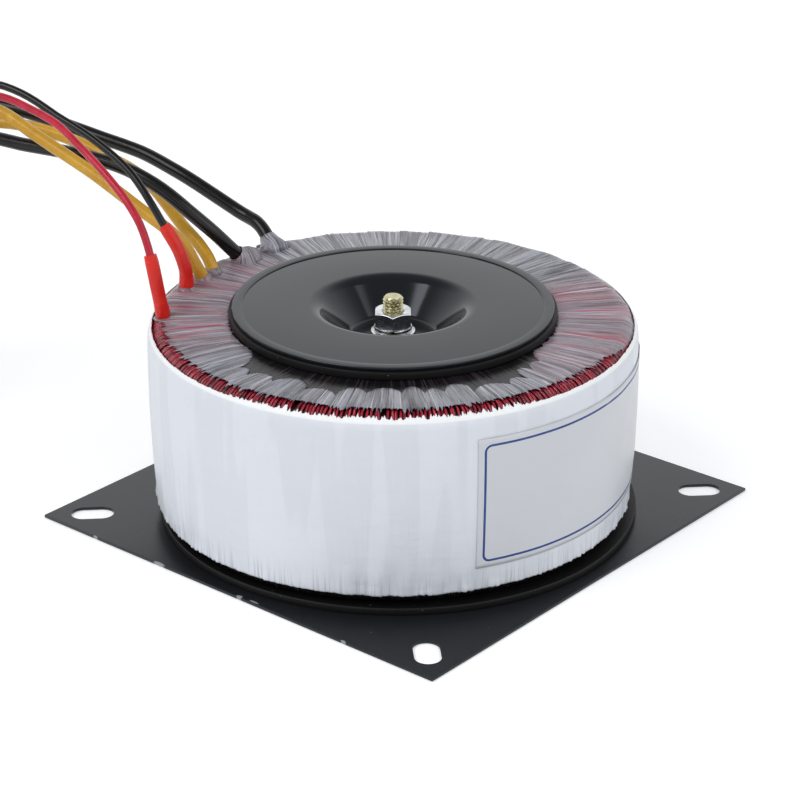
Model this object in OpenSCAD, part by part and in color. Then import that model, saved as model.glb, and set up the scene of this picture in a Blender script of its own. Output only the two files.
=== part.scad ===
// Toroidal mains transformer on a square steel plate, with six flying leads.
// Millimetres, +Z up. The origin is the middle of the plate's underside.

/* [Base plate] */
// Side of the square base plate
plate_side = 200; // [195:1:260]
// Thickness of the plate's steel
plate_t = 1.2; // [1:0.1:4]
// Distance from a plate edge to the middle of each mounting slot
slot_inset = 13.5; // [12:0.5:16]
// Width of a mounting slot
slot_w = 10; // [5:0.5:11]
// Length of a mounting slot, end to end
slot_len = 17; // [12:0.5:20]
// Depth of the pressed dimple that the bolt's head sits in
dimple_depth = 5.5; // [5.4:0.1:9]
// Run of the dimple's sloping wall
dimple_run = 6; // [4:0.5:9]
// Distance of the bolt's axis from the plate's middle, to the left
axis_x = -1.5; // [-4:0.5:4]
// Distance of the bolt's axis from the plate's middle, to the front
axis_y = -1.5; // [-4:0.5:4]

/* [Rubber pads] */
// Diameter of the lower pad
lower_pad_d = 190; // [180:1:194]
// Thickness of the lower pad
lower_pad_t = 3; // [2:0.5:5]
// Diameter of the upper pad
upper_pad_d = 128; // [110:1:140]
// Thickness of the upper pad
upper_pad_t = 3; // [2:0.5:5]

/* [Wound body] */
// Largest diameter over the wound body's film, inside the outer band
toroid_d = 190.4; // [180:0.2:194]
// Height of the wound body
toroid_h = 78.6; // [60:0.2:100]
// Radius of the finished hole through the body
hole_r = 29; // [27:0.5:33]
// Outer corner radius of the body
corner_r = 6.5; // [4:0.5:9]
// Corner radius at the hole
hole_corner_r = 8; // [5:0.5:10]
// How far the barrel's wall draws in, half a height from its belly
belly = 1.2; // [0:0.1:2]
// Height of the belly, as a share of the body's height
belly_at = 0.68; // [0.5:0.02:0.8]

/* [Windings and insulation] */
// Thickness of the loose outer film, folds included
film_t = 1.6; // [1.5:0.1:2.4]
// Number of pleats round the film's top
pleats = 60; // [40:2:70]
// Depth of the deepest pleat
pleat_depth = 1.2; // [0.4:0.1:1.2]
// Build-up of the secondary winding
secondary_t = 3.2; // [2:0.2:4]
// Ridges round the secondary winding
strands = 80; // [60:2:100]
// Depth of the grooves between strands
strand_groove = 0.5; // [0.2:0.1:0.8]
// Thickness of the insulation between the windings
inter_t = 0.5; // [0.3:0.1:1]
// Build-up of the primary winding
primary_t = 3.6; // [2:0.2:4.4]
// Thickness of the wrap on the core
core_wrap_t = 0.6; // [0.4:0.1:1.2]
// Clearance between one layer of the wound body and the next
layer_gap = 0.2; // [0.1:0.05:0.4]

/* [Outer band] */
// Thickness of the outer band
band_t = 0.4; // [0.3:0.1:0.8]
// Height of the band's upper edge below the body's top
band_top = 2.6; // [2:0.2:6]
// Height of the band's lower edge above the body's foot
band_foot = 5; // [1.6:0.2:6]
// Height of the gathers' upper ends above the body's foot
gather_h = 13.5; // [9:0.5:16]
// Depth of the gathers at the band's foot
gather_depth = 0.6; // [0.2:0.1:0.9]
// Number of gathers round the band
gathers = 70; // [50:2:80]

/* [Label] */
// Height of the label
label_h = 53; // [30:1:56]
// Length of the label, round the band
label_len = 130; // [60:2:180]
// Thickness of the label
label_t = 0.25; // [0.15:0.05:0.4]
// Height of the label's lower edge above the body's foot
label_foot = 14; // [12:0.5:15]
// Direction of the label's left edge, seen from above
label_start = -31; // [-60:1:0]

/* [Top washer] */
// Diameter of the top washer
washer_d = 125.5; // [105:0.5:135]
// Thickness of the top washer's steel
washer_t = 1.5; // [1:0.1:2.5]
// Depth of the top washer's dish
dish_depth = 12.7; // [9:0.1:14]
// Run of the dish's sloping wall
dish_run = 13; // [11:0.5:14]
// Radius of the bend at the dish's mouth
dish_bend = 8; // [5:0.5:9]

/* [Bolt and nut] */
// Diameter of the bolt
bolt_d = 8; // [6:0.5:10]
// Height of the bolt's head
head_h = 5.3; // [4:0.1:5.3]
// Size across the flats of the head and the nut
hex_af = 14; // [13:0.5:17]
// Height of the nut
nut_h = 6.5; // [5:0.1:8]
// Length of thread that stands out of the nut
thread_out = 5.7; // [2:0.1:12]
// Diameter of the flat washer
flat_washer_d = 17.5; // [16:0.5:22]
// Thickness of the flat washer
flat_washer_t = 1.6; // [1:0.1:2.5]
// Diameter of the spring washer
spring_washer_d = 14.8; // [13:0.2:16]
// Thickness of the spring washer
spring_washer_t = 2; // [1.6:0.1:3]
// Width of the spring washer's split
spring_gap = 1.2; // [0.8:0.1:2.5]
// Direction of the nut's nearest corner and the spring washer's split, from above
nut_turn = -50; // [-90:5:0]
// Chamfer on the nut's corners and the bolt's tip
chamfer = 0.8; // [0.4:0.1:1.2]
// Clearance of the plate's and washers' holes round the bolt
hole_clear = 0.5; // [0.3:0.1:1]
// Clearance of the nut and spring washer round the bolt
thread_clear = 0.1; // [0.1:0.05:0.2]

/* [Leads] */
// Diameter of the two thin leads
thin_d = 3.2; // [2.6:0.1:3.4]
// Diameter of the two yellow leads
yellow_d = 5.2; // [4:0.1:5.6]
// Diameter of the two thick black leads
thick_d = 5.8; // [4.5:0.1:6]
// Clearance between a sleeve and its lead
sleeve_clear = 0.3; // [0.2:0.1:0.5]
// Wall of a heat-shrink sleeve
sleeve_wall = 0.8; // [0.5:0.1:1]
// Length of bare tinned wire at each lead's end
tinned_len = 8; // [4:1:12]
// Share of a lead's diameter that its copper takes
copper_share = 0.55; // [0.4:0.05:0.7]

/* [Hidden] */
$fn = 96;
eps = 0.01;
over = 1;

// Heights of the stack, from the plate up
seat_z = plate_t + lower_pad_t;
top_z = seat_z + toroid_h;
washer_z = top_z + upper_pad_t;
floor_z = washer_z + washer_t - dish_depth;
spring_z = floor_z + flat_washer_t;
nut_z = spring_z + spring_washer_t;
bolt_top = nut_z + nut_h + thread_out;

// Dish and dimple
dish_clear = 1;
mouth_r = hole_r + dish_clear;
dish_floor_r = mouth_r - dish_run;
pad_lap = 4;
upper_hole_r = mouth_r + pad_lap;
head_clear = 3;
dimple_top_r = hex_af / sqrt(3) + head_clear;
dimple_foot_r = dimple_top_r + dimple_run;
lower_hole_r = dimple_foot_r + head_clear;

// Gaps that keep thin skins clear of what they wrap
band_gap = 0.3;
label_gap = 0.05;
floor_bend = 3;

// Easing of the core's edges, so that they clear the bends of the wrap
core_edge = 0.6;

// Smallest bend of a layer deep in the body
least_bend = 1;

// How uneven the pleats and gathers are: most rise of a ridge between two
// folds and least depth of a fold, as shares of the deepest one
pleat_ridge = 0.2;
pleat_least = 0.55;
gather_ridge = 0.1;
gather_least = 0.4;

// Smooth strip that the pleats leave at the pad and at the body's edge
pleat_edge = 1;

// How deep each layer lies under the body's surface
secondary_in = film_t + layer_gap;
inter_in = secondary_in + secondary_t + layer_gap;
primary_in = inter_in + inter_t + layer_gap;
core_wrap_in = primary_in + primary_t + layer_gap;
core_in = core_wrap_in + core_wrap_t + layer_gap;

// Places along each lead, from the wound body to its tinned end
red_route = [
    [-68, -61, 83], [-69, -63, 96], [-72, -63, 108], [-78, -62, 119], [-88, -61, 128],
    [-101, -60, 136], [-115, -58, 142], [-129, -56, 147], [-144, -56, 150], [-159, -57, 152],
    [-174, -60, 150], [-187, -64, 143], [-197, -71, 132], [-204, -78, 117], [-207, -85, 100],
    [-209, -92, 82], [-210, -98, 65], [-211, -105, 47], [-212, -112, 31], [-213, -122, 17],
    [-214, -133, 7], [-215, -146, 2], [-215, -160, 2]
];
thin_black_route = [
    [-81, -35, 83], [-81, -35, 91], [-84, -36, 100], [-90, -37, 108], [-98, -37, 117],
    [-108, -36, 125], [-119, -36, 131], [-133, -37, 137], [-147, -39, 142], [-162, -40, 147],
    [-177, -43, 150], [-191, -47, 148], [-203, -53, 142], [-213, -60, 131], [-219, -67, 116],
    [-222, -74, 100], [-223, -81, 82], [-223, -88, 65], [-224, -95, 47], [-225, -102, 31],
    [-226, -112, 17], [-227, -123, 7], [-227, -136, 2], [-227, -150, 2]
];
yellow_a_route = [
    [-83, -23, 83], [-86, -25, 90], [-90, -26, 96], [-97, -28, 102], [-107, -30, 107],
    [-119, -32, 113], [-134, -33, 119], [-150, -35, 125], [-166, -37, 131], [-181, -38, 136],
    [-196, -42, 137], [-210, -47, 132], [-221, -54, 121], [-228, -62, 108], [-232, -69, 92],
    [-234, -76, 75], [-235, -83, 59], [-236, -90, 43], [-237, -98, 28], [-238, -109, 16],
    [-238, -121, 7], [-238, -134, 3], [-238, -148, 3]
];
yellow_b_route = [
    [-85, -15, 83], [-89, -14, 88], [-96, -13, 93], [-106, -11, 97], [-117, -8, 102],
    [-129, -5, 107], [-142, -4, 111], [-156, -5, 114], [-171, -8, 118], [-187, -13, 121],
    [-203, -19, 122], [-219, -26, 119], [-233, -34, 112], [-245, -43, 102], [-252, -52, 88],
    [-257, -60, 73], [-259, -68, 57], [-261, -76, 42], [-261, -84, 28], [-262, -95, 16],
    [-262, -107, 7], [-262, -120, 3], [-262, -134, 3]
];
black_a_route = [
    [-85, 3, 83], [-86, -3, 89], [-90, -9, 97], [-98, -15, 106], [-109, -19, 114],
    [-124, -23, 120], [-141, -26, 122], [-159, -29, 122], [-176, -33, 122], [-193, -36, 122],
    [-208, -41, 118], [-221, -47, 111], [-231, -54, 101], [-239, -61, 89], [-243, -69, 76],
    [-246, -77, 61], [-248, -84, 47], [-249, -93, 33], [-249, -103, 21], [-249, -114, 12],
    [-249, -126, 6], [-249, -139, 3], [-249, -151, 3]
];
black_b_route = [
    [-86, 21, 83], [-91, 22, 88], [-97, 23, 91], [-106, 23, 93], [-125, 17, 103],
    [-137, 14, 108], [-152, 12, 112], [-168, 6, 116], [-184, 0, 120], [-200, -7, 124],
    [-216, -14, 126], [-231, -22, 124], [-245, -30, 119], [-255, -39, 109], [-263, -48, 96],
    [-267, -56, 81], [-270, -63, 65], [-271, -71, 50], [-272, -79, 35], [-273, -90, 22],
    [-273, -101, 12], [-273, -114, 6], [-273, -127, 3], [-273, -139, 3]
];

function unit(v) = v / norm(v);

// Heading of a route at point i. It leaves the body with its end cut level.
function heading(p, i) =
    i == 0 ? [0, 0, 1] : unit(p[min(i + 1, len(p) - 1)] - p[i - 1]);

// A direction square to the heading that turns as little as it can
function sideways(p, i) =
    let (
        before = i == 0 ? [0, 1, 0] : sideways(p, i - 1),
        ahead = heading(p, i)
    )
    unit(before - (before * ahead) * ahead);

// One ring of a tube of radius r round point i of a route
function tube_ring(p, i, r, sides) =
    let (
        across = sideways(p, i),
        up = cross(heading(p, i), across)
    )
    [for (k = [0:sides - 1])
        let (a = 360 * k / sides)
        p[i] + r * (cos(a) * across + sin(a) * up)];

// Faces of a skin over rows of points that close on themselves
function skin_faces(rows, cols, closed) = [
    for (i = [0:rows - (closed ? 1 : 2)], k = [0:cols - 1])
        let (
            here = i * cols,
            next = ((i + 1) % rows) * cols,
            right = (k + 1) % cols
        )
        [here + k, here + right, next + right, next + k]
];

function flat(lists) = [for (l = lists) each l];

// A route with a point added halfway along each of its bends, on a smooth curve
function halved(p) =
    let (last = len(p) - 1)
    [for (i = [0:last]) each i == last ? [p[i]] : [
        p[i],
        (9 * (p[i] + p[i + 1]) - p[max(i - 1, 0)] - p[min(i + 2, last)]) / 16
    ]];

// A solid tube that follows a route
module tube(p, d, sides) {
    rings = flat([for (i = [0:len(p) - 1]) tube_ring(p, i, d / 2, sides)]);
    last = (len(p) - 1) * sides;
    first_cap = [for (k = [sides - 1:-1:0]) k];
    last_cap = [for (k = [0:sides - 1]) last + k];
    polyhedron(rings, concat(skin_faces(len(p), sides, false), [first_cap, last_cap]));
}

// A hollow tube that follows a route, open at both ends
module sleeve(p, inner_d, outer_d, sides) {
    rings = concat(
        [for (i = [0:len(p) - 1]) tube_ring(p, i, outer_d / 2, sides)],
        [for (i = [len(p) - 1:-1:0]) tube_ring(p, i, inner_d / 2, sides)]
    );
    polyhedron(flat(rings), skin_faces(len(rings), sides, true));
}

// The bare end of a lead, straight on from its last point
module tinned_end(p, d) {
    end = p[len(p) - 1];
    ahead = heading(p, len(p) - 1);
    translate(end) rotate([0, 90 - asin(ahead[2]), atan2(ahead[1], ahead[0])])
        cylinder(h = tinned_len, d = d * copper_share);
}

// Radius of the wound body at height z
function wall_r(z) =
    toroid_d / 2 - belly * pow(2 * (z - seat_z) / toroid_h - 2 * belly_at, 2);

// Points along a quarter turn round a corner's centre
function corner(r, z, bend, from, to, steps) = [
    for (i = [0:steps])
        let (a = from + (to - from) * i / steps)
        [r + bend * cos(a), z + bend * sin(a)]
];

// Heights of the points on the wall, as shares of the body's height
wall_rows = [0.75, 0.5, 0.25];

// Section of the wound body, drawn in by a layer's depth. It starts at the
// foot of the hole and runs up, over the top, down the wall and back.
function body_section(depth, top_rows = [], steps = 5) =
    let (
        low = seat_z + depth,
        high = top_z - depth,
        inner = max(hole_corner_r - depth, least_bend),
        outer = max(corner_r - depth, least_bend),
        top_r = wall_r(top_z - corner_r) - depth - outer,
        foot_r = wall_r(seat_z + corner_r) - depth - outer,
        bore_r = hole_r + depth + inner
    )
    concat(
        corner(bore_r, low + inner, inner, 270, 180, 3),
        corner(bore_r, high - inner, inner, 180, 90, 3),
        [for (r = top_rows) [r, high]],
        corner(top_r, high - outer, outer, 90, 0, steps),
        [for (s = wall_rows) let (z = seat_z + s * toroid_h) [wall_r(z) - depth, z]],
        corner(foot_r, low + outer, outer, 0, -90, steps)
    );

// A closed layer between two depths under the body's surface
module layer(depth, thickness) {
    rotate_extrude() difference() {
        polygon(body_section(depth));
        polygon(body_section(depth + thickness));
    }
}

module on_axis() {
    translate([axis_x, axis_y, 0]) children();
}

module slot() {
    translate([0, 0, -over]) {
        for (end = [-1, 1])
            translate([end * (slot_len - slot_w) / 2, 0, 0])
                cylinder(h = plate_t + 2 * over, d = slot_w);
        translate([-(slot_len - slot_w) / 2, -slot_w / 2, 0])
            cube([slot_len - slot_w, slot_w, plate_t + 2 * over]);
    }
}

module base_plate() {
    reach = plate_side / 2 - slot_inset;
    color("#26272b") difference() {
        union() {
            translate([-plate_side / 2, -plate_side / 2, 0])
                cube([plate_side, plate_side, plate_t]);
            on_axis() translate([0, 0, plate_t / 2])
                cylinder(h = dimple_depth + plate_t / 2, r1 = dimple_foot_r + plate_t,
                    r2 = dimple_top_r + plate_t);
        }
        on_axis() translate([0, 0, -eps])
            cylinder(h = dimple_depth + eps, r1 = dimple_foot_r, r2 = dimple_top_r);
        on_axis() cylinder(h = dimple_depth + plate_t + over, d = bolt_d + 2 * hole_clear);
        for (turn = [45:90:315])
            rotate(turn) translate([reach * sqrt(2), 0, 0]) slot();
    }
}

module lower_pad() {
    color("#161617") translate([0, 0, plate_t]) difference() {
        cylinder(h = lower_pad_t, d = lower_pad_d);
        on_axis() translate([0, 0, -over])
            cylinder(h = lower_pad_t + 2 * over, r = lower_hole_r);
    }
}

module core() {
    low = seat_z + core_in;
    high = top_z - core_in;
    inner = hole_r + core_in;
    outer = wall_r(seat_z + corner_r) - core_in;
    color("#8b8e93") on_axis() rotate_extrude() polygon([
        [inner, low + core_edge], [inner + core_edge, low],
        [outer - core_edge, low], [outer, low + core_edge],
        [outer, high - core_edge], [outer - core_edge, high],
        [inner + core_edge, high], [inner, high - core_edge]
    ]);
}

module core_wrap() {
    color("#d8c27a") on_axis() layer(core_wrap_in, core_wrap_t);
}

module primary_winding() {
    color("#a8442a") on_axis() layer(primary_in, primary_t);
}

module inter_winding_insulation() {
    color("#d9d3b8") on_axis() layer(inter_in, inter_t);
}

// The strands show as ridges round the whole section
module secondary_winding() {
    cols = 2 * strands;
    rings = [
        for (k = [0:cols - 1])
            let (depth = secondary_in + (k % 2) * strand_groove)
            turned(body_section(depth, steps = 3), 360 * k / cols)
    ];
    color("#8e1f24") on_axis() difference() {
        polyhedron(flat(rings), skin_faces(cols, len(rings[0]), true));
        rotate_extrude() polygon(body_section(secondary_in + secondary_t));
    }
}

// Points of a section, turned about the axis
function turned(section, a) =
    [for (q = section) [q[0] * cos(a), q[0] * sin(a), q[1]]];

// An uneven share from 0 to 1 for the fold or gather of column k
function uneven(k) = 0.5 + 0.5 * sin(k * 137 + 50 * sin(k * 23));

// The same, no smaller than a least share
function uneven_from(least, k) = least + (1 - least) * uneven(k);

// How strongly the pleats show at radius r: none under the pad or at the edge
function pleat_fade(r) =
    let (
        from = upper_pad_d / 2 + pleat_edge,
        to = toroid_d / 2 - pleat_edge
    )
    r < from || r > to ? 0 : sin(180 * (r - from) / (to - from));

// Section of the film at column k: every other column is the floor of a pleat
function film_section(k) =
    let (
        fold = k % 2 == 0 ? pleat_ridge * uneven(k) : uneven_from(pleat_least, k),
        from = upper_pad_d / 2 + pleat_edge,
        to = toroid_d / 2 - corner_r,
        rows = [for (i = [0:3]) from + (to - from) * i / 4]
    )
    [for (q = body_section(0, rows))
        q[1] < top_z - corner_r ? q :
            [q[0], q[1] - pleat_depth * fold * pleat_fade(q[0])]];

module film_wrap() {
    cols = 2 * pleats;
    rings = [for (k = [0:cols - 1]) turned(film_section(k), 360 * k / cols)];
    color("#b9b4b8") on_axis() difference() {
        polyhedron(flat(rings), skin_faces(cols, len(rings[0]), true));
        rotate_extrude() polygon(body_section(film_t));
    }
}

// A path down the outside of the body, proud of it, between the band's edges
function band_path(proud, foot_rows = []) =
    let (
        top_turn = asin(1 - band_top / corner_r),
        foot_turn = asin(1 - band_foot / corner_r),
        bend = corner_r + proud
    )
    concat(
        corner(wall_r(top_z - corner_r) - corner_r, top_z - corner_r, bend, top_turn, 0, 2),
        [for (s = wall_rows) let (z = seat_z + s * toroid_h) [wall_r(z) + proud, z]],
        [for (z = foot_rows) [wall_r(z) + proud, z]],
        corner(wall_r(seat_z + corner_r) - corner_r, seat_z + corner_r, bend,
            0, -foot_turn, 2)
    );

// Section of the band at column k: every other column is the crest of a gather
function band_section(k) =
    let (
        start_z = seat_z + gather_h,
        crest = k % 2 == 0 ? gather_ridge * uneven(k) : uneven_from(gather_least, k),
        outside = band_path(band_gap + band_t, [start_z]),
        inside = band_path(band_gap)
    )
    concat(
        [for (i = [len(inside) - 1:-1:0]) inside[i]],
        [for (q = outside)
            let (share = max(0, (start_z - q[1]) / (gather_h - band_foot)))
            [q[0] + gather_depth * crest * share, q[1]]]
    );

module outer_band() {
    cols = 2 * gathers;
    rings = [for (k = [0:cols - 1]) turned(band_section(k), 360 * k / cols)];
    color("#eef0f4") on_axis()
        polyhedron(flat(rings), skin_faces(cols, len(rings[0]), true));
}

module label() {
    back = band_gap + band_t + label_gap;
    heights = [for (i = [0:6]) seat_z + label_foot + label_h * i / 6];
    color("#dfe2e6") on_axis() rotate(label_start)
        rotate_extrude(angle = label_len / (PI * toroid_d) * 360)
            polygon(concat(
                [for (z = heights) [wall_r(z) + back, z]],
                [for (i = [6:-1:0]) [wall_r(heights[i]) + back + label_t, heights[i]]]
            ));
}

module upper_pad() {
    color("#161617") on_axis() translate([0, 0, top_z]) difference() {
        cylinder(h = upper_pad_t, d = upper_pad_d);
        translate([0, 0, -over]) cylinder(h = upper_pad_t + 2 * over, r = upper_hole_r);
    }
}

// The dish's bends are arcs round two centres, shared by both faces
module top_washer() {
    rim_z = washer_z + washer_t;
    slope = atan2(dish_depth, dish_run);
    mouth_c = [mouth_r + dish_bend * tan(slope / 2), rim_z - dish_bend];
    floor_c = [dish_floor_r - floor_bend * tan(slope / 2), floor_z + floor_bend];
    hole = bolt_d / 2 + hole_clear;
    rim = washer_d / 2;
    color("#3a3c44") on_axis() rotate_extrude() polygon(concat(
        [[hole, floor_z]],
        corner(floor_c[0], floor_c[1], floor_bend, 270, 270 + slope, 4),
        corner(mouth_c[0], mouth_c[1], dish_bend, 90 + slope, 90, 8),
        [[rim, rim_z], [rim, washer_z]],
        corner(mouth_c[0], mouth_c[1], dish_bend - washer_t, 90, 90 + slope, 8),
        corner(floor_c[0], floor_c[1], floor_bend + washer_t, 270 + slope, 270, 4),
        [[hole, floor_z - washer_t]]
    ));
}

// A bar with a chamfered far end
module chamfered_bar(h, d) {
    cylinder(h = h - chamfer, d = d);
    translate([0, 0, h - chamfer]) cylinder(h = chamfer, d1 = d, d2 = d - 2 * chamfer);
}

module centre_bolt() {
    color("#b9a75e") on_axis() {
        translate([0, 0, dimple_depth - head_h]) rotate(nut_turn)
            cylinder(h = head_h, d = hex_af / cos(30), $fn = 6);
        translate([0, 0, dimple_depth - eps]) chamfered_bar(bolt_top - dimple_depth + eps, bolt_d);
    }
}

module ring(h, outer_d, inner_d) {
    difference() {
        cylinder(h = h, d = outer_d);
        translate([0, 0, -over]) cylinder(h = h + 2 * over, d = inner_d);
    }
}

module flat_washer() {
    color("#cdd0d4") on_axis() translate([0, 0, floor_z])
        ring(flat_washer_t, flat_washer_d, bolt_d + 2 * hole_clear);
}

module spring_washer() {
    split = spring_gap / (PI * spring_washer_d) * 360;
    inner = bolt_d / 2 + thread_clear;
    color("#c3c6ca") on_axis() translate([0, 0, spring_z]) rotate(nut_turn + split / 2)
        rotate_extrude(angle = 360 - split) translate([inner, 0])
            square([spring_washer_d / 2 - inner, spring_washer_t]);
}

module hex_nut() {
    corner_d = hex_af / cos(30);
    color("#d3d6da") on_axis() translate([0, 0, nut_z]) difference() {
        intersection() {
            rotate(nut_turn) cylinder(h = nut_h, d = corner_d, $fn = 6);
            chamfered_bar(nut_h, corner_d + eps);
        }
        translate([0, 0, -over])
            cylinder(h = nut_h + 2 * over, d = bolt_d + 2 * thread_clear);
    }
}

module red_lead() {
    color("#c8203a") tube(halved(red_route), thin_d, 8);
}

module thin_black_lead() {
    color("#17181a") tube(halved(thin_black_route), thin_d, 8);
}

module yellow_lead_a() {
    color("#d9a92e") tube(yellow_a_route, yellow_d, 10);
}

module yellow_lead_b() {
    color("#d9a92e") tube(yellow_b_route, yellow_d, 10);
}

module black_lead_a() {
    color("#17181a") tube(black_a_route, thick_d, 10);
}

module black_lead_b() {
    color("#17181a") tube(black_b_route, thick_d, 10);
}

// Heat-shrink over a thin lead, as far as one of its route's points
module lead_sleeve(route, last_point) {
    inner_d = thin_d + 2 * sleeve_clear;
    path = halved(route);
    color("#e02a20")
        sleeve([for (i = [0:2 * last_point]) path[i]], inner_d, inner_d + 2 * sleeve_wall, 10);
}

module red_lead_sleeve() {
    lead_sleeve(red_route, 2);
}

module thin_black_lead_sleeve() {
    lead_sleeve(thin_black_route, 3);
}

module red_lead_end() {
    color("#c9ccd0") tinned_end(halved(red_route), thin_d);
}

module thin_black_lead_end() {
    color("#c9ccd0") tinned_end(halved(thin_black_route), thin_d);
}

module yellow_lead_a_end() {
    color("#c9ccd0") tinned_end(yellow_a_route, yellow_d);
}

module yellow_lead_b_end() {
    color("#c9ccd0") tinned_end(yellow_b_route, yellow_d);
}

module black_lead_a_end() {
    color("#c9ccd0") tinned_end(black_a_route, thick_d);
}

module black_lead_b_end() {
    color("#c9ccd0") tinned_end(black_b_route, thick_d);
}

base_plate();
lower_pad();
core();
core_wrap();
primary_winding();
inter_winding_insulation();
secondary_winding();
film_wrap();
outer_band();
label();
upper_pad();
top_washer();
centre_bolt();
flat_washer();
spring_washer();
hex_nut();
red_lead();
thin_black_lead();
yellow_lead_a();
yellow_lead_b();
black_lead_a();
black_lead_b();
red_lead_sleeve();
thin_black_lead_sleeve();
red_lead_end();
thin_black_lead_end();
yellow_lead_a_end();
yellow_lead_b_end();
black_lead_a_end();
black_lead_b_end();
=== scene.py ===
"""Looks of a toroidal mains transformer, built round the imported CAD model.

Lengths are written in millimetres and scaled to metres where a mesh is made.
"""

import math
import random

import bmesh
import bpy
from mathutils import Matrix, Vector, noise


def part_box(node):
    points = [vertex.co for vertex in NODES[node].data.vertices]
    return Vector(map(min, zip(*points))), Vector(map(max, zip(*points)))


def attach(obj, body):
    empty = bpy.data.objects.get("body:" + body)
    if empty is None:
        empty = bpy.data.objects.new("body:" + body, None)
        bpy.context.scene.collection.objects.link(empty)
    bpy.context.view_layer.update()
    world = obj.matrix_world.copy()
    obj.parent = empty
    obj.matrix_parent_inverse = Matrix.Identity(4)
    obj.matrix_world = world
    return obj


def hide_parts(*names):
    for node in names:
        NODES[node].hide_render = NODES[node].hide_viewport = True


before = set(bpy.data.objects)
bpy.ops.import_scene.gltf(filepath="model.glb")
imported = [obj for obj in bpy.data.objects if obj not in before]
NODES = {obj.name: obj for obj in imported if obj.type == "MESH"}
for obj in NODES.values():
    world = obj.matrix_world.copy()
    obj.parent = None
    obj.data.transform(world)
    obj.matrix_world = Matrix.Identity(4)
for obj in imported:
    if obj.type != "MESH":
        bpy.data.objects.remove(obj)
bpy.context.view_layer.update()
MM = 0.001


def corners(node):
    """Lowest and highest corner of a CAD node, in millimetres."""
    low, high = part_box(node)
    return low / MM, high / MM


# ---------------------------------------------------------------- sizes, as in the CAD
washer_low, washer_high = corners("top_washer")
AX = (washer_low.x + washer_high.x) / 2
AY = (washer_low.y + washer_high.y) / 2
WASHER_R = (washer_high.x - washer_low.x) / 2
RIM_Z = washer_high.z
body_low, body_high = corners("film_wrap")
SEAT, TOP = body_low.z, body_high.z
BODY_R, BODY_H = 95.2, TOP - SEAT
BELLY, BELLY_AT = 1.2, 0.68
CORNER = 6.5
BORE_R, BORE_CORNER = 29.0, 8.0
BAND_TOP, BAND_FOOT, GATHER_H = 2.6, 5.0, 13.5
BAND_PROUD = 0.7
LABEL_FROM, LABEL_LEN = -31.0, 130.0
LABEL_LOW, LABEL_HIGH = SEAT + 14, SEAT + 67
LABEL_PROUD = 1.0
NUT_TURN = -50.0
FLOOR_Z = corners("flat_washer")[0].z
SPRING_Z = corners("spring_washer")[0].z
NUT_LOW, NUT_HIGH = corners("hex_nut")
BOLT_TOP = corners("centre_bolt")[1].z
TINNED = 8.0
COPPER_SHARE = 0.55

ROUTES = {
    "red": [
        (-68, -61, 83), (-69, -63, 96), (-72, -63, 108), (-78, -62, 119), (-88, -61, 128),
        (-101, -60, 136), (-115, -58, 142), (-129, -56, 147), (-144, -56, 150), (-159, -57, 152),
        (-174, -60, 150), (-187, -64, 143), (-197, -71, 132), (-204, -78, 117), (-207, -85, 100),
        (-209, -92, 82), (-210, -98, 65), (-211, -105, 47), (-212, -112, 31), (-213, -122, 17),
        (-214, -133, 7), (-215, -146, 2), (-215, -160, 2)],
    "thin_black": [
        (-81, -35, 83), (-81, -35, 91), (-84, -36, 100), (-90, -37, 108), (-98, -37, 117),
        (-108, -36, 125), (-119, -36, 131), (-133, -37, 137), (-147, -39, 142), (-162, -40, 147),
        (-177, -43, 150), (-191, -47, 148), (-203, -53, 142), (-213, -60, 131), (-219, -67, 116),
        (-222, -74, 100), (-223, -81, 82), (-223, -88, 65), (-224, -95, 47), (-225, -102, 31),
        (-226, -112, 17), (-227, -123, 7), (-227, -136, 2), (-227, -150, 2)],
    "yellow_a": [
        (-83, -23, 83), (-86, -25, 90), (-90, -26, 96), (-97, -28, 102), (-107, -30, 107),
        (-119, -32, 113), (-134, -33, 119), (-150, -35, 125), (-166, -37, 131), (-181, -38, 136),
        (-196, -42, 137), (-210, -47, 132), (-221, -54, 121), (-228, -62, 108), (-232, -69, 92),
        (-234, -76, 75), (-235, -83, 59), (-236, -90, 43), (-237, -98, 28), (-238, -109, 16),
        (-238, -121, 7), (-238, -134, 3), (-238, -148, 3)],
    "yellow_b": [
        (-85, -15, 83), (-89, -14, 88), (-96, -13, 93), (-106, -11, 97), (-117, -8, 102),
        (-129, -5, 107), (-142, -4, 111), (-156, -5, 114), (-171, -8, 118), (-187, -13, 121),
        (-203, -19, 122), (-219, -26, 119), (-233, -34, 112), (-245, -43, 102), (-252, -52, 88),
        (-257, -60, 73), (-259, -68, 57), (-261, -76, 42), (-261, -84, 28), (-262, -95, 16),
        (-262, -107, 7), (-262, -120, 3), (-262, -134, 3)],
    "black_a": [
        (-85, 3, 83), (-86, -3, 89), (-90, -9, 97), (-98, -15, 106), (-109, -19, 114),
        (-124, -23, 120), (-141, -26, 122), (-159, -29, 122), (-176, -33, 122), (-193, -36, 122),
        (-208, -41, 118), (-221, -47, 111), (-231, -54, 101), (-239, -61, 89), (-243, -69, 76),
        (-246, -77, 61), (-248, -84, 47), (-249, -93, 33), (-249, -103, 21), (-249, -114, 12),
        (-249, -126, 6), (-249, -139, 3), (-249, -151, 3)],
    "black_b": [
        (-86, 21, 83), (-91, 22, 88), (-97, 23, 91), (-106, 23, 93), (-125, 17, 103),
        (-137, 14, 108), (-152, 12, 112), (-168, 6, 116), (-184, 0, 120), (-200, -7, 124),
        (-216, -14, 126), (-231, -22, 124), (-245, -30, 119), (-255, -39, 109), (-263, -48, 96),
        (-267, -56, 81), (-270, -63, 65), (-271, -71, 50), (-272, -79, 35), (-273, -90, 22),
        (-273, -101, 12), (-273, -114, 6), (-273, -127, 3), (-273, -139, 3)],
}


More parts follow.
